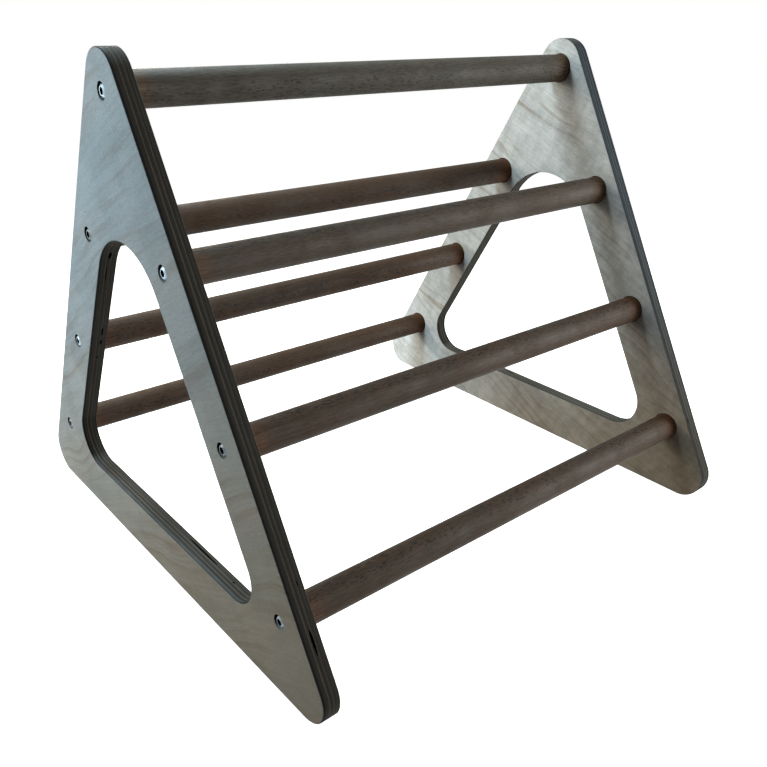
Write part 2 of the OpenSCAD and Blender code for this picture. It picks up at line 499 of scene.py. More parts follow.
# the cut edges of a side panel, with the plies in section
edgePlan = {
    # lightness of each ply from the outer face inwards: 0 dark, 1 pale
    "plies": (0.00, 0.00, 0.25, 0.22, 0.28, 0.92, 0.26, 0.20, 0.44, 0.68, 0.26, 0.34, 0.42, 0.26, 0.32),
    "dark": (0.0024, 0.0020, 0.0020, 1),
    "pale": (0.066, 0.059, 0.046, 1),
    "dust": (0.052, 0.052, 0.047, 1),
    "frontY": (-0.3, -0.8),  # how far a surface must face forwards to be the front edge
    "frontZ": (-0.1, 0.1),
    "upwardZ": (0.80, 0.98),  # and how far upwards to be a sill
    "rightEdgeLight": (0.98, 1.40, 2.05, 1),  # painted light: the right-hand panel's front edge lighter and bluer
    "edgeLightFade": (0.05, 0.36),  # heights between which that painted light sets in
    "seam": (0.0122, 0.0132, 0.0168, 0.0176),  # depths between which one ply of that edge is dark
    "seamFade": (0.40, 0.26),  # heights between which that dark seam sets in
    "seamDark": 0.75,
    "leftSillLight": (1.90, 2.00, 2.30, 1),  # painted light from above: what the upward surfaces, the sills of the windows, are multiplied by
    "rightSillLight": (2.40, 2.60, 2.75, 1),
    "lipHighlight": (0.130, 0.145, 0.157, 1),  # painted highlight: a paler, bluer band next to the outer face on upward surfaces, where the eased edge catches the light
    "lipHighlightDepth": (0.0012, 0.0048),
    "lipHighlightStreaks": (0.3, 0.7, 0.35, 0.75),
    "dusty": (0.3, 0.05),  # how much dust the speckle holds, and how much there is anyway
    "glue": (0.009, 0.007, 0.005, 1),
    "glueAt": (0.40, 0.48, 0.0, 0.65),  # distance from a ply's middle, in plies, and its strength
    "faceVeneer": (0.00025, 0.0003125),  # depth at which the face veneer starts to end, and ends
    "skinShare": (0.35, 1.0),  # how clearly it shows on other surfaces, where painted shade dims it, and on upward ones
    "wobble": 0.0004,  # how far the plies stray
    # each pattern: how fast it changes across the plies and along them (per metre), seed, detail
    "waves": (0, 14, 2.0, 2.0),
    "streaks": (1700, 45, 1.0, 2.0),
    "lamina": (1500, 3, 6.0, 1.0),
    "speckle": (900, 900, 4.0, 2.0),
    "weights": (1.4, 1.2, 2.6),  # of the streaks, the speckle and the lamina
    "threshold": 1.6,
    "roughness": 0.75,
    "relief": 0.00012,
    "shine": 0.08,
}


def plyTones(tree, share):
    # a ramp with one even step for each ply
    ramp = addNode(tree, "ShaderNodeValToRGB", {0: share})
    stops = ramp.color_ramp
    stops.interpolation = "CONSTANT"
    for i, tone in enumerate(edgePlan["plies"]):
        stop = stops.elements[i] if i < 2 else stops.elements.new(1.0)
        stop.position = i / len(edgePlan["plies"])
        stop.color = (tone, tone, tone, 1)
    return ramp.outputs[0]


def makeEdge():
    plan = edgePlan
    material, tree = newMaterial("plyEdge")
    place = coordinate(tree, "Object")
    x, _, z = axes(tree, place)
    facing = axes(tree, coordinate(tree, "Normal"))

    def pattern(name):
        across, along, w, detail = plan[name]
        return noise(tree, place, (across, along, along), w, detail)

    # the plies, broken up by streaks
    stray = product(tree, minus(tree, pattern("waves"), 0.5), plan["wobble"])
    depth = total(tree, minus(tree, outerX, calc(tree, "ABSOLUTE", x)), stray)
    share = calc(tree, "DIVIDE", depth, plyT)
    streaks, speckle = pattern("streaks"), pattern("speckle")
    marks = zip((streaks, speckle, pattern("lamina")), plan["weights"])
    broken = total(tree, *[product(tree, mark, weight) for mark, weight in marks])
    tone = calc(tree, "MULTIPLY", plyTones(tree, share), minus(tree, broken, plan["threshold"]), clamp=True)
    colour = mixColour(tree, tone, plan["dark"], plan["pale"])

    # the right-hand panel's front edge with its painted light, and painted light on the upward surfaces of
    # both panels
    onRight = calc(tree, "GREATER_THAN", x, 0.0)
    forwards = remap(tree, facing["Y"], *plan["frontY"])
    slope = product(tree, forwards, remap(tree, facing["Z"], *plan["frontZ"]), onRight)
    seam = hump(tree, depth, *plan["seam"], plan["seamDark"])
    seam = product(tree, seam, slope, remap(tree, z, *plan["seamFade"]))
    edgeLit = product(tree, slope, remap(tree, z, *plan["edgeLightFade"]))
    colour = tint(tree, colour, plan["rightEdgeLight"], edgeLit)
    upward = remap(tree, facing["Z"], *plan["upwardZ"])
    # painted light from above on the upward surfaces
    colour = tint(tree, colour, mixColour(tree, onRight, plan["leftSillLight"], plan["rightSillLight"]), upward)

    # glue lines, the ends of the face veneers, the dark seam, dust and the painted highlight on the lip
    wave = calc(tree, "FRACT", product(tree, share, float(len(plan["plies"]))))
    glue = remap(tree, calc(tree, "ABSOLUTE", minus(tree, wave, 0.5)), *plan["glueAt"])
    colour = mixColour(tree, glue, colour, plan["glue"])
    depths = (depth, minus(tree, plyT, depth))  # from the outer and from the inner face
    skins = [remap(tree, d, *plan["faceVeneer"], 1, 0) for d in depths]
    clear = remap(tree, upward, 0, 1, *plan["skinShare"])
    skin = product(tree, calc(tree, "ADD", *skins, clamp=True), clear)
    colour = mixColour(tree, skin, colour, veneerPlan["outer"])
    colour = mixColour(tree, seam, colour, plan["dark"])
    inSpeckle, anyway = plan["dusty"]
    dusty = product(tree, upward, total(tree, product(tree, speckle, inSpeckle), anyway))
    colour = mixColour(tree, dusty, colour, plan["dust"])
    lipHighlight = product(tree, upward, remap(tree, depth, *plan["lipHighlightDepth"], 1, 0))
    lipHighlight = product(tree, lipHighlight, remap(tree, streaks, *plan["lipHighlightStreaks"]))
    colour = mixColour(tree, lipHighlight, colour, plan["lipHighlight"])
    relief = minus(tree, total(tree, streaks, speckle), glue)
    return dress(material, plan, colour, plan["roughness"], relief)


# core gaps and bored holes: dark rough end grain under painted shade; painted light makes the counterbores
# paler where their wall faces up
recessPlan = {
    # painted shade over the dark end grain in the recesses
    "recessShade": (0.007, 0.006, 0.005, 1),
    "litWood": (0.300, 0.320, 0.330, 1),
    "faces": (0.05, 0.75, 0.10, 1.0),  # how far a wall must face up for it to get that painted light, and how much
    "smudged": (1.0, 0.75),  # what is left of that painted light where there are no smudges and where there are
    "markSize": 0.004,
    "roughness": 0.85,
    "relief": 0.0001,
    "shine": 0.0,
}


# clean: how much of the painted light on upward walls shows; none in the core gaps
def makeRecess(name, clean):
    plan = recessPlan
    material, tree = newMaterial(name)
    place = coordinate(tree, "Object")
    touched = handled(tree, place, plan["markSize"])
    upward = axes(tree, coordinate(tree, "Normal"))["Z"]
    litWood = product(tree, outerHalf(tree, place), clean, remap(tree, upward, *plan["faces"]))
    litWood = product(tree, litWood, remap(tree, touched["Smudge"], 0, 1, *plan["smudged"]))
    # painted shade, and painted light where the wall faces up
    colour = mixColour(tree, litWood, plan["recessShade"], plan["litWood"])
    return dress(material, plan, colour, plan["roughness"], touched["Speckle"])


# the side panels
panelPlan = {
    "cornerRadius": 0.030,
    "sideStrip": 0.061,
    "baseStrip": 0.061,
    "windowTopRadius": 0.070,
    "windowBaseRadius": 0.035,
    "easing": (0.0010, 0.0005),  # radius of the eased edges of the outer and the inner face
    "easingSteps": 4,
    "arcSteps": 36,
    "straightStep": 0.020,
    "flatStrip": 0.0004,  # narrow flat ring that keeps the shading of flat faces clean
    "faceTolerance": 0.00001,
}
seatPlan = {
    "counterbore": 0.0075,
    "counterboreDepth": 0.0046,
    "hole": 0.00425,
    "pocket": 0.0166,
    "pocketDepth": 0.005,
    "mouthEasing": 0.0003,
    "mouth": ((1, 0), (0.3, 0.3), (0, 1)),  # width and depth of its points, in easings
    "margin": 0.0001,
    "segments": 72,
}


def triangleCorners(topZ, baseZ, topR, baseR):
    # each corner: y and z of its arc's middle, the radius, the angle at which the arc starts
    halfBase = (topZ - baseZ) * math.tan(lean)
    baseY = halfBase - baseR / math.tan((math.pi / 2 - lean) / 2)
    return [
        (0, topZ - topR / math.sin(lean), topR, lean),
        (-baseY, baseZ + baseR, baseR, math.pi - lean),
        (baseY, baseZ + baseR, baseR, 3 * math.pi / 2),
    ]


def panelOutlines():
    plan, radius = panelPlan, panelPlan["cornerRadius"]
    peak = panelH + radius / math.sin(lean) - radius
    windowPeak = peak - plan["sideStrip"] / math.sin(lean)
    window = (windowPeak, plan["baseStrip"], plan["windowTopRadius"], plan["windowBaseRadius"])
    return triangleCorners(peak, 0, radius, radius), triangleCorners(*window)


def arcPoints(y, z, radius, angles):
    return [(y + radius * math.cos(a), z + radius * math.sin(a)) for a in angles]


def roundedOutline(corners, grow):
    arcs = []
    steps = panelPlan["arcSteps"]
    for i, (y, z, radius, start) in enumerate(corners):
        sweep = (corners[(i + 1) % 3][3] - start) % (2 * math.pi)
        arcs.append(arcPoints(y, z, radius + grow, [start + sweep * k / steps for k in range(steps + 1)]))
    side = math.dist(corners[0][:2], corners[1][:2])
    pieces = max(1, round(side / panelPlan["straightStep"]))
    outline = []
    for arc, following in zip(arcs, arcs[1:] + arcs[:1]):
        outline += arc
        start, end = Vector(arc[-1]), Vector(following[0])
        outline += [tuple(start.lerp(end, k / pieces)) for k in range(1, pieces)]
    return outline


def easedSection():
    # (distance in from the edge, depth below the outer face) across a panel's rim
    steps, strip = panelPlan["easingSteps"], panelPlan["flatStrip"]
    bend = [k / steps * math.pi / 2 for k in range(steps + 1)]
    sides = []
    for radius in panelPlan["easing"]:
        curve = [(radius * (1 - math.sin(a)), radius * (1 - math.cos(a))) for a in bend]
        sides.append([(radius + strip, 0)] + curve + [(0, radius + strip)])
    farSide = [(inset, plyT - depth) for inset, depth in reversed(sides[1])]
    return sides[0] + farSide


def seatSection():
    # (radius, depth below the outer face) down through a bolt hole to a rung's pocket
    plan, strip = seatPlan, panelPlan["flatStrip"]
    floor = plyT - plan["pocketDepth"]
    # an eased mouth, from the flat face inwards: how much wider than the hole, and how deep
    mouth = [(reach * plan["mouthEasing"], deep * plan["mouthEasing"]) for reach, deep in plan["mouth"]]
    mouth.insert(0, (mouth[0][0] + strip, 0))
    return [
        *[(plan["counterbore"] + wider, deep) for wider, deep in mouth],
        (plan["counterbore"], plan["counterboreDepth"]),
        (plan["hole"], plan["counterboreDepth"]),
        (plan["hole"], floor),
        (plan["pocket"], floor),
        *[(plan["pocket"] + wider, plyT - deep) for wider, deep in reversed(mouth)],
    ]


def seatPlaces():
    places = [(topSeat.y, topSeat.z)]
    for way in (-1, 1):
        for k in range(1, perSlope + 1):
            down = k * pitch
            places.append((way * down * math.sin(lean), topSeat.z - down * math.cos(lean)))
    return places


def fullTurn(count):
    return [2 * math.pi * k / count for k in range(count)]


def addLoops(mesh, loops):
    # faces from each loop of points to the next; a loop of one point closes an end
    rows = [[mesh.verts.new(p) for p in loop] for loop in loops]
    for first, second in zip(rows, rows[1:]):
        count = max(len(first), len(second))
        for k in range(count):
            j = (k + 1) % count
            corners = [row[i % len(row)] for row, i in ((first, k), (first, j), (second, j), (second, k))]
            mesh.faces.new(dict.fromkeys(corners))
    return rows[0], rows[-1]


def buildPanelMesh(side):
    mesh = bmesh.new()
    rims = []

    def addWall(section, outlineAt):
        # one ring of points for each (size, depth) of the section
        loops = []
        for size, depth in section:
            x = ways[side] * (outerX - depth)
            loops.append([(x, y, z) for y, z in outlineAt(size)])
        rims.append(addLoops(mesh, loops))

    outer, window = panelOutlines()
    for corners, direction in ((outer, -1), (window, 1)):
        addWall(easedSection(), lambda inset: roundedOutline(corners, direction * inset))
    for y, z in seatPlaces():
        addWall(seatSection(), lambda radius: arcPoints(y, z, radius, fullTurn(seatPlan["segments"])))
    for faceRims in zip(*rims):
        rimEdges = []
        for rim in faceRims:
            rimEdges += [mesh.edges.get((v, rim[(i + 1) % len(rim)])) for i, v in enumerate(rim)]
        bmesh.ops.triangle_fill(mesh, edges=rimEdges, use_beauty=True, use_dissolve=False)
    return toData(mesh, side + "Panel")


# gaps in the core plies that show as dark slits on the cut edges
# each: side, which edge, place along the straight edge (0 top or front, 1 bottom or back),
# length, depth from the outer face, width
coreGaps = [
    ("left", "front", 0.917, 0.0240, 0.0096, 0.0025),
    ("left", "front", 0.820, 0.0050, 0.0125, 0.0013),
    ("left", "sill", 0.260, 0.0560, 0.0136, 0.0022),
    ("left", "sill", 0.060, 0.0040, 0.0120, 0.0015),
    ("left", "windowBack", -0.045, 0.0100, 0.0096, 0.0034),
    ("left", "windowBack", 0.055, 0.0200, 0.0080, 0.0011),
    ("left", "windowBack", 0.400, 0.0120, 0.0118, 0.0023),
    ("left", "windowBack", 0.468, 0.0085, 0.0118, 0.0023),
    ("left", "windowBack", 0.565, 0.0045, 0.0092, 0.0018),
    ("right", "front", 0.680, 0.0030, 0.0136, 0.0012),
    ("right", "front", 0.878, 0.0070, 0.0136, 0.0014),
    ("right", "sill", 0.620, 0.0180, 0.0062, 0.0012),
    ("left", "back", 0.350, 0.0120, 0.0082, 0.0014),
    ("right", "back", 0.700, 0.0160, 0.0110, 0.0014),
]
gapPlan = {
    "steps": 14,
    "reach": (0.002, -0.007),  # how far the cut stands out of the edge and goes into it
    "ends": 0.02,  # share of the length at which an end is cut off square
    "fullness": 0.45,
    "uneven": (0.75, 1.1),
}


def straightEdge(which):
    outer, window = panelOutlines()
    slope = (math.cos(lean), math.sin(lean))
    corners, first, last, normal = {
        "front": (outer, 0, 1, (-slope[0], slope[1])),
        "back": (outer, 0, 2, slope),
        "sill": (window, 1, 2, (0, -1)),
        "windowBack": (window, 0, 2, slope),
    }[which]
    ends = []
    for y, z, radius, _ in (corners[first], corners[last]):
        ends.append(Vector((y + radius * normal[0], z + radius * normal[1])))
    outward = Vector(normal) if corners is outer else -Vector(normal)
    return ends[0], ends[1], outward


def addGapCutter(mesh, side, which, share, length, depth, width):
    plan = gapPlan
    start, end, outward = straightEdge(which)
    along = (end - start).normalized()
    middle = start.lerp(end, share)
    draw = random.Random(int(share * 1000) + int(depth * 1e5))
    upper, lower = [], []
    for k in range(plan["steps"] + 1):
        s = k / plan["steps"]
        rounded = math.sin(math.pi * min(max(s, plan["ends"]), 1 - plan["ends"])) ** plan["fullness"]
        offset = (s - 0.5) * length
        upper.append((offset, width / 2 * rounded * draw.uniform(*plan["uneven"])))
        lower.append((offset, -width / 2 * rounded * draw.uniform(*plan["uneven"])))
    outline = upper + lower[::-1]
    loops = []
    for out in plan["reach"]:
        places = [middle + along * a + outward * out for a, _ in outline]
        loops.append([(ways[side] * (outerX - depth - b), p.x, p.y) for p, (_, b) in zip(places, outline)])
    near, far = addLoops(mesh, loops)
    mesh.faces.new(near)
    mesh.faces.new(far[::-1])


def cutGaps(panel, side):
    mesh = bmesh.new()
    for gap in coreGaps:
        if gap[0] == side:
            addGapCutter(mesh, *gap)
    data = toData(mesh, "gapCutter")
    for material in panel.data.materials:
        data.materials.append(material)
    for face in data.polygons:
        face.material_index = 2
    cutter = addObject("gapCutter", data)
    cut = panel.modifiers.new("cut", "BOOLEAN")
    cut.operation = "DIFFERENCE"
    cut.solver = "EXACT"
    cut.object = cutter
    bakeModifiers(panel)
    bpy.data.objects.remove(cutter)
    bpy.data.meshes.remove(data)


def slotOf(face):
    # which material a face of a panel has: 0 veneer, 1 cut edge, 3 bored hole
    x, y, z = face.center
    if min(abs(abs(x) - outerX), abs(abs(x) - innerX)) < panelPlan["faceTolerance"]:
        return 0
    reach = seatPlan["pocket"] + seatPlan["mouthEasing"] + seatPlan["margin"]
    return 3 if any(math.dist((y, z), seat) < reach for seat in seatPlaces()) else 1


def makePanel(side, *cutMaterials):
    panel = addObject(side + "Panel", buildPanelMesh(side))
    for material in (makeVeneer(side), *cutMaterials):
        panel.data.materials.append(material)
    for face in panel.data.polygons:
        face.material_index = slotOf(face)
    cutGaps(panel, side)
    shadeByAngle(panel.data)
    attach(panel, "root")
    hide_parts(side + "_panel")
    return panel


plyEdge = makeEdge()
coreGap = makeRecess("coreGap", 0.0)
bore = makeRecess("bore", 1.0)
for side in ways:
    panel = makePanel(side, plyEdge, coreGap, bore)
    print(side, "panel:", len(panel.data.polygons), "faces")


# Geometry Nodes tree that puts one piece at every rung seat
def pickedFor(tree, index, seed, most):
    # a random number from 0 to most for each seat
    wires = {2: 0.0, 3: most, "ID": index, "Seed": seed}
    return addNode(tree, "FunctionNodeRandomValue", wires, data_type="FLOAT").outputs[1]


def store(tree, geometry, name, value, kind, domain):
    wires = {"Geometry": geometry, "Name": name, "Value": value}
    return output(tree, "GeometryNodeStoreNamedAttribute", wires, data_type=kind, domain=domain)


def makeSeatTree():
    tree = bpy.data.node_groups.new("atEverySeat", "GeometryNodeTree")
    for label, kind in (
        ("Geometry", "Geometry"), ("Top Height", "Float"), ("Pitch", "Float"), ("Lean", "Float"),
        ("Steps", "Int"), ("Side Offset", "Float"), ("Half Turn", "Float"), ("Spin Seed", "Int"),
        ("Tone Seed", "Int"), ("Material", "Material"),
    ):
        tree.interface.new_socket(label, in_out="INPUT", socket_type="NodeSocket" + kind)
    tree.interface.new_socket("Geometry", in_out="OUTPUT", socket_type="NodeSocketGeometry")
    given = tree.nodes.new("NodeGroupInput").outputs
    index = output(tree, "GeometryNodeInputIndex")
    steps = given["Steps"]
    # the first points are the top and the front slope, the rest the back slope
    onBack = calc(tree, "GREATER_THAN", index, steps)
    step = minus(tree, index, product(tree, onBack, steps))
    way = minus(tree, product(tree, onBack, 2.0), 1.0)
    down = product(tree, step, given["Pitch"])
    y = product(tree, way, product(tree, down, calc(tree, "SINE", given["Lean"])))
    drop = product(tree, down, calc(tree, "COSINE", given["Lean"]))
    place = joined(tree, given["Side Offset"], y, minus(tree, given["Top Height"], drop))
    count = total(tree, product(tree, steps, 2.0), 1.0)
    points = output(tree, "GeometryNodeMeshLine", {"Count": count, "Offset": (0, 0, 0)})
    points = output(tree, "GeometryNodeSetPosition", {"Geometry": points, "Position": place})
    own = output(tree, "GeometryNodeInputPosition")
    kept = store(tree, given["Geometry"], "grainPoint", own, "FLOAT_VECTOR", "POINT")
    spin = pickedFor(tree, index, given["Spin Seed"], 2 * math.pi)
    wires = {"Points": points, "Instance": kept, "Rotation": joined(tree, spin, 0.0, given["Half Turn"])}
    placed = output(tree, "GeometryNodeInstanceOnPoints", wires)
    chance = pickedFor(tree, index, given["Tone Seed"], 1.0)
    marked = store(tree, placed, "pieceSeed", chance, "FLOAT", "INSTANCE")
    solid = output(tree, "GeometryNodeRealizeInstances", {"Geometry": marked})
    wires = {"Geometry": solid, "Material": given["Material"]}
    finished = output(tree, "GeometryNodeSetMaterial", wires)
    addNode(tree, "NodeGroupOutput", {0: finished})
    return tree


seatTree = makeSeatTree()


def repeatAtSeats(name, data, own):
    source = addObject(name, data)
    modifier = source.modifiers.new("seats", "NODES")
    modifier.node_group = seatTree
    values = {"Top Height": topSeat.z, "Pitch": pitch, "Lean": lean, "Steps": perSlope, **own}
    for item in seatTree.interface.items_tree:
        if item.in_out == "INPUT" and item.name in values:
            modifier[item.identifier] = values[item.name]
    bakeModifiers(source)
    return source


# turned pieces: rings of points about the X axis
def turnedMesh(name, rings, segments):
    # each ring: (place along X, radius or a function of the angle); a radius of 0 closes an end
    mesh = bmesh.new()
    loops = []
    for x, radius in rings:
        loop = []
        for angle in fullTurn(segments):
            r = radius(angle) if callable(radius) else radius
            loop.append((x, r * math.cos(angle), r * math.sin(angle)))
        loops.append(loop if radius else loop[:1])
    addLoops(mesh, loops)
    data = toData(mesh, name)
    shadeByAngle(data)
    return data


# rungs
rungPlan = {
    "endEasing": 0.0012,
    "easingSteps": 4,
    "flatRing": 0.0006,  # narrow ring that keeps the shading clean beside the easing
    "boreRadius": 0.00602,
    "boreDepth": 0.0236,
    "unevenness": 0.00006,  # how far sanding leaves the radius from true
    "segments": 72,
    "ringStep": 0.015,
    "grain": {"Ring Width": 0.0042, "Wander": 0.020, "Fleck Length": 0.0036, "Fleck Width": 0.0013},
    "brown": (0.042, 0.0175, 0.0060, 1),
    "late": (0.012, 0.007, 0.004, 1),
    "fleck": (0.006, 0.004, 0.003, 1),
    # partly the wood's own grey, partly a painted sheen of the front light
    "greySheen": (0.036, 0.037, 0.031, 1),
    "greyness": (0.75, 0.10),  # share of that grey and painted sheen in the greyest and in the brownest rung
    "tone": (1.12, 0.92),
    "fibre": (0.64, 1.42),
    "seeds": 40.0,  # how far apart the rungs lie in the timber's pattern
    "darkening": (0.85, 0.30, 0.9),  # of the rings, of the strokes beside them, and of the flecks
    "cloudAt": (0.3, 0.7, 0.0, 0.18),  # where in the clouds a rung turns to that grey and painted sheen, and how far
    "fleckZone": (0.72, 0.92),  # shares of the radius between which the flecks set in
    "endStain": (1.80, 1.18, 0.74, 1),  # painted light: warm light bounced from the panels, what the colour near a rung's ends is multiplied by
    "endReach": (0.036, 0.004),  # how far from the end that painted light begins, and where it is full
    "markSize": 0.05,
    "roughness": (0.62, 0.74),
    "relief": 0.00008,
    "shine": 0.18,
    "seed": 11,
    "spinSeed": 353,  # which side of each rung faces up
    "toneSeed": 198,  # how red and how dark each rung is, with a seed that leaves the rungs in the cool front light greyer: partly painted light
}


def buildRungMesh():
    plan, soft = rungPlan, rungPlan["endEasing"]
    draw = random.Random(plan["seed"])
    boreFloor = plan["boreDepth"] - rungHalf
    end = [(boreFloor, 0), (boreFloor, plan["boreRadius"]), (-rungHalf, plan["boreRadius"])]
    end.append((-rungHalf, rungRadius - soft - plan["flatRing"]))
    for k in range(plan["easingSteps"] + 1):
        angle = k / plan["easingSteps"] * math.pi / 2
        end.append((-rungHalf + soft * (1 - math.cos(angle)), rungRadius - soft * (1 - math.sin(angle))))
    end.append((-rungHalf + soft + plan["flatRing"], rungRadius))
    count = round(2 * rungHalf / plan["ringStep"])
    middle = []
    for k in range(1, count):
        x = -rungHalf + 2 * rungHalf * k / count
        middle.append((x, rungRadius - draw.uniform(0, plan["unevenness"])))
    farEnd = [(-x, r) for x, r in reversed(end)]
    return turnedMesh("rungs", end + middle + farEnd, plan["segments"])


def makeBeech():
    plan = rungPlan
    material, tree = newMaterial("beechGrain")
    own = attribute(tree, "grainPoint", "Vector")
    chance = attribute(tree, "pieceSeed", "Fac")
    grain = timber(tree, own, {"Seed": product(tree, chance, plan["seeds"]), **plan["grain"]})
    touched = handled(tree, own, plan["markSize"])
    x, _, z = axes(tree, own)
    zone = [rungRadius * share for share in plan["fleckZone"]]
    flecks = product(tree, grain["Flecks"], remap(tree, calc(tree, "ABSOLUTE", z), *zone))
    greyness = remap(tree, chance, 0, 1, *plan["greyness"], style="LINEAR")
    colour = mixColour(tree, greyness, plan["brown"], plan["greySheen"])
    ofRings, ofStrokes, ofFlecks = plan["darkening"]
    streaks = calc(tree, "MAXIMUM", grain["Rings"], product(tree, grain["Strokes"], ofStrokes))
    colour = mixColour(tree, product(tree, streaks, ofRings), colour, plan["late"])
    colour = dim(tree, colour, remap(tree, grain["Fibres"], 0, 1, *plan["fibre"], style="LINEAR"))
    colour = mixColour(tree, product(tree, flecks, ofFlecks), colour, plan["fleck"])
    colour = mixColour(tree, remap(tree, grain["Clouds"], *plan["cloudAt"]), colour, plan["greySheen"])
    colour = dim(tree, colour, remap(tree, chance, 0, 1, *plan["tone"], style="LINEAR"))
    reach = [rungHalf - r for r in plan["endReach"]]
    # painted warm light near the ends, bounced from the panels
    colour = tint(tree, colour, plan["endStain"], remap(tree, calc(tree, "ABSOLUTE", x), *reach))
    relief = minus(tree, grain["Fibres"], flecks)
    return dress(material, plan, colour, smudged(tree, touched, plan), relief)


rungs = repeatAtSeats("rungs", buildRungMesh(), {
    "Side Offset": 0.0,
    "Half Turn": 0.0,
    "Spin Seed": rungPlan["spinSeed"],
    "Tone Seed": rungPlan["toneSeed"],
    "Material": makeBeech(),
})
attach(rungs, "root")
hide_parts(*rungNames)
print("rungs:", len(rungs.data.polygons), "faces")


# bolts
boltPlan = {
    "headRadius": 0.007,
    "headHeight": 0.0044,
    "rimHeight": 0.001,
    "rimEasing": 0.00025,
    "flatRadius": 0.004,
    "domeSteps": 8,
    "domeSpread": 0.8,
    "socketHalf": 0.0025,  # half the width across the flats
    "socketMouth": 0.0006,  # how much wider the socket's chamfered mouth is
    "mouthDepth": (0.00002, 0.0004),
    "mouthRing": 0.0003,
    "socketDepth": 0.0026,
    "socketCone": 0.0007,  # the drill's cone below the socket's floor
    "floorEasing": (0.0002, 0.96),  # its height, and the share of the width that it leaves
    "sunk": 0.0002,
    "shankRadius": 0.004,
    "length": 0.030,
    "plainLength": 0.0084,
    "threadPitch": 0.00125,
    "threadDepth": 0.000625,
    "tip": (0.0003, 0.0004),  # length and width of the chamfer at the tip
    "segments": 48,
    "zinc": (0.36, 0.46, 0.56, 1),
    "dull": (0.11, 0.125, 0.14, 1),
    "shadeAndGrime": (0.010, 0.010, 0.011, 1),  # painted shade in the socket, and painted shade and grime round the rim
    "wearAndReflection": (0.4, 1.5),  # how much the smudges and the bolt's own chance dull it; the chance is partly painted reflection
    "shadeAndGrimeRough": 0.5,
    "socketShade": 1.08,  # share of the socket's mouth within which the painted shade lies
    "rimShadeAndGrime": (0.96, 1.02),  # shares of the head's radius between which the painted shade and grime set in
    "markSize": 0.006,
    "roughness": (0.36, 0.58),
    "relief": 0.00002,
    "shine": 0.0,
    "spinSeed": 5,
    # picked so that the top bolts stay bright and the lower ones dull: partly painted reflection
    "toneSeed": 80,
}


def hexRadius(half):
    def at(angle):
        return half / math.cos((angle % (math.pi / 3)) - math.pi / 6)

    return at


def domeHeight(radius):
    # height above the seat of the sphere through the dome's rim and the edge of its flat top
    b = boltPlan
    rim = b["headRadius"] ** 2 + b["rimHeight"] ** 2
    top = b["flatRadius"] ** 2 + b["headHeight"] ** 2
    drop = (rim - top) / (2 * (b["headHeight"] - b["rimHeight"]))
    domeRadius = math.hypot(b["headRadius"], b["rimHeight"] + drop)
    return math.sqrt(max(domeRadius ** 2 - radius ** 2, 0)) - drop


def buildBoltMesh(name):
    # axis on X, the head's top at x = 0 and the tip towards +X
    b = boltPlan
    seat, floor, half = b["headHeight"], b["socketDepth"], b["socketHalf"]
    root = b["shankRadius"] - b["threadDepth"]
    rings = [
        (floor + b["socketCone"], 0),
        (floor, hexRadius(half * b["floorEasing"][1])),
        (floor - b["floorEasing"][0], hexRadius(half)),
        (b["mouthDepth"][1], hexRadius(half)),
        (b["mouthDepth"][0], hexRadius(half + b["socketMouth"])),
        (0, b["flatRadius"] - b["mouthRing"]),
    ]
    for k in range(b["domeSteps"] + 1):
        spread = math.sin(k / b["domeSteps"] * math.pi / 2) ** b["domeSpread"]
        radius = b["flatRadius"] + (b["headRadius"] - b["flatRadius"]) * spread
        rings.append((seat - domeHeight(radius), radius))
    start = seat + b["plainLength"]
    rings += [
        (seat - b["rimEasing"], b["headRadius"]),
        (seat, b["headRadius"] - b["rimEasing"]),
        (seat, b["shankRadius"]),
        (start, b["shankRadius"]),
    ]
    for k in range(int((b["length"] - b["plainLength"]) / b["threadPitch"])):
        rings.append((start + k * b["threadPitch"], root))
        rings.append((start + (k + 0.5) * b["threadPitch"], b["shankRadius"]))
    end = seat + b["length"]
    rings += [(end - b["tip"][0], root), (end, root - b["tip"][1]), (end, 0)]
    return turnedMesh(name, rings, b["segments"])


def makeZinc():
    plan = boltPlan
    material, tree = newMaterial("zincPlate")
    own = attribute(tree, "grainPoint", "Vector")
    chance = attribute(tree, "pieceSeed", "Fac")
    touched = handled(tree, own, plan["markSize"])
    offAxis = vectorCalc(tree, "MULTIPLY", own, (0, 1, 1))[0]
    offAxis = vectorCalc(tree, "LENGTH", offAxis)["Value"]
    mouth = (plan["socketHalf"] + plan["socketMouth"]) * plan["socketShade"]
    rim = remap(tree, offAxis, *[plan["headRadius"] * share for share in plan["rimShadeAndGrime"]])
    # painted shade in the socket, and painted shade and grime round the rim
    shadeAndGrime = calc(tree, "MAXIMUM", calc(tree, "LESS_THAN", offAxis, mouth), rim)
    dulling = [product(tree, mask, weight) for mask, weight in zip((touched["Smudge"], chance), plan["wearAndReflection"])]
    colour = mixColour(tree, calc(tree, "ADD", *dulling, clamp=True), plan["zinc"], plan["dull"])
    colour = mixColour(tree, shadeAndGrime, colour, plan["shadeAndGrime"])
    shadeAndGrimeRough = product(tree, shadeAndGrime, plan["shadeAndGrimeRough"])
    rough = calc(tree, "ADD", smudged(tree, touched, plan), shadeAndGrimeRough, clamp=True)
    return dress(material, plan, colour, rough, touched["Speckle"], minus(tree, 1.0, shadeAndGrime))


zinc = makeZinc()
for side, way in ways.items():
    name = side + "Bolts"
    bolts = repeatAtSeats(name, buildBoltMesh(name), {
        "Side Offset": way * (outerX - boltPlan["sunk"]),
        "Half Turn": math.pi if side == "right" else 0.0,
        "Spin Seed": boltPlan["spinSeed"] + way,
        "Tone Seed": boltPlan["toneSeed"] + way,
        "Material": zinc,
    })
    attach(bolts, "root")
    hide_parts(*[n for n in cadNodes if n.startswith(f"bolt_{side}_")])
    print(side, "bolts:", len(bolts.data.polygons), "faces")


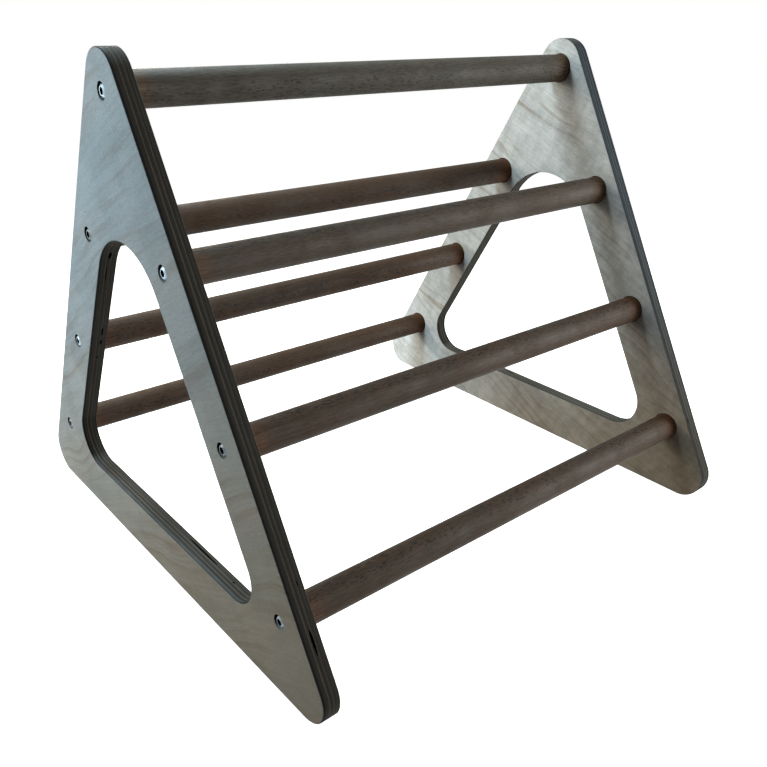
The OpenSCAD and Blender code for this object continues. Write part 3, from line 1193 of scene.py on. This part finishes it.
# threaded inserts, hidden inside the rungs
brassPlan = {
    "bright": (0.62, 0.43, 0.17, 1),
    "tarnish": (0.33, 0.21, 0.09, 1),
    "markSize": 0.008,
    "roughness": (0.30, 0.55),
    "relief": 0.00002,
    "shine": 0.5,
}


def makeBrass():
    plan = brassPlan
    material, tree = newMaterial("brassMetal")
    touched = handled(tree, coordinate(tree, "Object"), plan["markSize"])
    colour = mixColour(tree, touched["Smudge"], plan["bright"], plan["tarnish"])
    return dress(material, plan, colour, smudged(tree, touched, plan), touched["Speckle"], 1.0)


brass = makeBrass()
for nodeName, piece in cadNodes.items():
    if nodeName.startswith("insert_"):
        piece.data.materials.clear()
        piece.data.materials.append(brass)
print("inserts: brass")


# floor, world and lamps
studio = {
    "floorSize": 40.0,
    "floorTint": (0.97, 0.975, 0.98, 1),
    "floorLift": (0.86, 1.0),  # how far the floor is lifted towards white, near the object and far off
    "floorFade": (0.5, 1.6),  # metres from the middle over which the lift grows
    "floorBounce": (0.08, 0.08, 0.08, 1),  # what the object sees of the floor
    "floorGlow": (0.012, 0.010, 0.008, 1),
    # each lamp: place, size, watts, colour
    "lamps": {
        "frontRight": ((1.04, -1.04, 0.56), 0.8, 33.5, (0.97, 1.00, 0.98)),
        "left": ((-1.00, 0.40, 0.80), 0.5, 6.0, (0.75, 0.95, 1.00)),
        "above": ((-0.10, 0.25, 1.00), 0.2, 6.4, (0.77, 0.95, 1.00)),
        "behind": ((0.00, 0.90, 0.75), 0.4, 6.1, (1.00, 0.88, 0.72)),
        "backLeft": ((-1.04, 1.04, 0.56), 0.8, 9.0, (1.00, 0.99, 0.82)),
    },
    "aim": (0.0, 0.0, 0.25),
}


def seenMask(tree):
    # 1 for what the camera, a gloss or a glass sees, 0 for light on the object
    path = tree.nodes.new("ShaderNodeLightPath").outputs
    seen = calc(tree, "MAXIMUM", path["Is Camera Ray"], path["Is Glossy Ray"])
    return calc(tree, "MAXIMUM", seen, path["Is Transmission Ray"])


def glowing(tree, colour, glow):
    # a diffuse floor with a little light of its own
    shaders = {
        0: output(tree, "ShaderNodeBsdfDiffuse", {"Color": colour}),
        1: output(tree, "ShaderNodeEmission", glow),
    }
    return output(tree, "ShaderNodeAddShader", shaders)


def makeFloor():
    half = studio["floorSize"] / 2
    corners = [(-half, -half, 0), (half, -half, 0), (half, half, 0), (-half, half, 0)]
    data = bpy.data.meshes.new("floor")
    data.from_pydata(corners, [], [(0, 1, 2, 3)])
    material = bpy.data.materials.new("floor")
    data.materials.append(material)
    tree = emptyTree(material)
    away = vectorCalc(tree, "LENGTH", coordinate(tree, "Object"))["Value"]
    lift = remap(tree, away, *studio["floorFade"], *studio["floorLift"])
    shown = glowing(tree, studio["floorTint"], {"Strength": lift})
    bounce = glowing(tree, studio["floorBounce"], {"Color": studio["floorGlow"]})
    mixed = output(tree, "ShaderNodeMixShader", {0: seenMask(tree), 1: bounce, 2: shown})
    addNode(tree, "ShaderNodeOutputMaterial", {0: mixed})
    floor = addObject("floor", data)


def makeWorld():
    world = bpy.data.worlds.new("studio")
    scene.world = world
    tree = emptyTree(world)
    shown = output(tree, "ShaderNodeBackground", {"Color": white, "Strength": 1.0})
    dark = output(tree, "ShaderNodeBackground", {"Strength": 0.0})
    mixed = output(tree, "ShaderNodeMixShader", {0: seenMask(tree), 1: dark, 2: shown})
    addNode(tree, "ShaderNodeOutputWorld", {0: mixed})


def makeLamps():
    for name, (place, size, watts, colour) in studio["lamps"].items():
        lamp = addObject(name, bpy.data.lights.new(name, "AREA"))
        lamp.data.size = size
        lamp.data.energy = watts
        lamp.data.color = colour
        lamp.location = place
        lamp.rotation_euler = lookAt(place, studio["aim"])


makeFloor()
makeWorld()
makeLamps()
scene.view_settings.view_transform = "Standard"
print("studio set")
